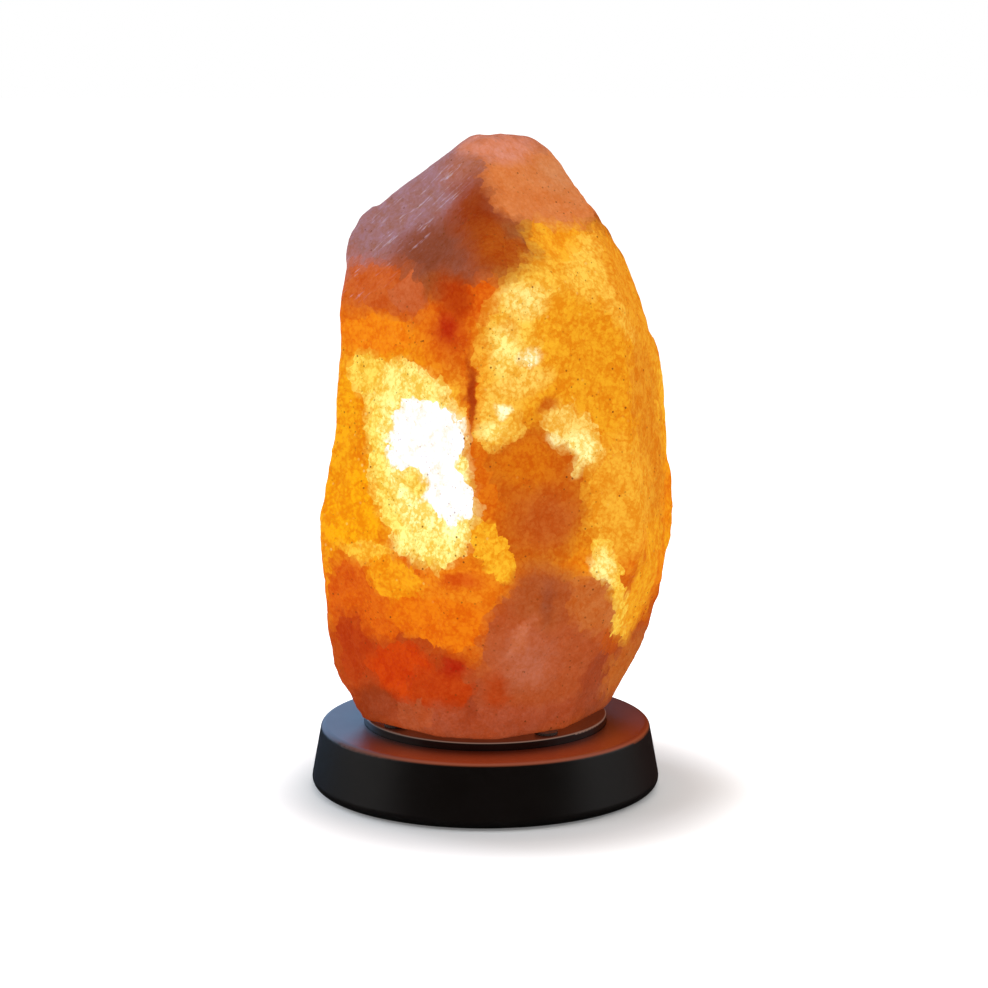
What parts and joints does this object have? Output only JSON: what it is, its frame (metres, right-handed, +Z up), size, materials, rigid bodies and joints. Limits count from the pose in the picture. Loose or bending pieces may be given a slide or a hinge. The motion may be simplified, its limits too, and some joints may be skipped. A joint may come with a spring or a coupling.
{
  "type": "salt crystal lamp",
  "caption": "Table lamp: a rough hewn, bored salt crystal lifts off a round base plate over an upright candle bulb screwed into a holder on the moulded base.",
  "frame": {"origin": "on the axis of the round base, in the plane of the table that the foot pad stands on", "axes": "+Z up along the axis of base, lamp holder and bulb; the front of the lamp faces -Y and the cord inlet +Y"},
  "size_m": [0.1344, 0.1308, 0.2408],
  "materials": {
    "base_shell": "satin black",
    "plate": "satin black",
    "cover": "fine grained",
    "foot_foam": "matt",
    "grommet_rubber": "matt",
    "steel": "zinc plated",
    "terminal_plastic": "moulded",
    "brass": "drawn",
    "lead_blue": "smooth insulation",
    "lead_brown": "smooth insulation",
    "holder_plastic": "moulded",
    "contact_plastic": "glazed",
    "cap_metal": "nickel plated",
    "cap_glass": "glassy",
    "bulb_glass": "clear",
    "wire": "drawn",
    "salt": "rough hewn, washed",
    "pad_rubber": "soft, glossy"
  },
  "bodies": {
    "base": {"base_body": "base_shell", "seat_plate": "plate", "bottom_cover": "cover", "foot_pad": "foot_foam", "cord_grommet": "grommet_rubber", "hollow_screw": "steel", "hollow_screw_nut": "steel", "lock_washer": "steel", "cover_screw_1": "steel", "cover_screw_2": "steel", "cover_screw_3": "steel", "cover_screw_4": "steel", "terminal_block": "terminal_plastic", "block_screw": "steel", "terminal_screw_1": "brass", "terminal_screw_2": "brass", "terminal_screw_3": "brass", "terminal_screw_4": "brass", "lead_left": "lead_blue", "lead_right": "lead_brown", "holder_body": "holder_plastic", "holder_shell": "brass", "contact_block": "contact_plastic", "centre_contact": "brass"},
    "crystal": {"salt_crystal": "salt", "crystal_pad_1": "pad_rubber", "crystal_pad_2": "pad_rubber", "crystal_pad_3": "pad_rubber", "crystal_pad_4": "pad_rubber"},
    "bulb": {"bulb_glass": "bulb_glass"},
    "bulb_screw_cap": {"bulb_cap": "cap_metal", "cap_insulator": "cap_glass", "bulb_contact": "cap_metal", "glass_stem": "bulb_glass", "support_wire_left": "wire", "support_wire_right": "wire", "filament": "wire"}
  },
  "joints": [
    {"name": "crystal_lift", "type": "slide", "parent": "base", "child": "crystal", "axis": [0, 0, 1], "range_m": [0, 0.12]},
    {"name": "bulb_rise", "type": "slide", "parent": "base", "child": "bulb", "axis": [0, 0, 1], "range_m": [0, 0.01128]},
    {"name": "bulb_turn", "type": "hinge", "parent": "bulb", "child": "bulb_screw_cap", "pos_m": [0, 0, 0.05], "axis": [0, 0, 1], "range_deg": [0, 1440]}
  ],
  "couplings": [
    {"joint": "bulb_turn", "follows": "bulb_rise", "rad_per_m": 2226.5}
  ]
}
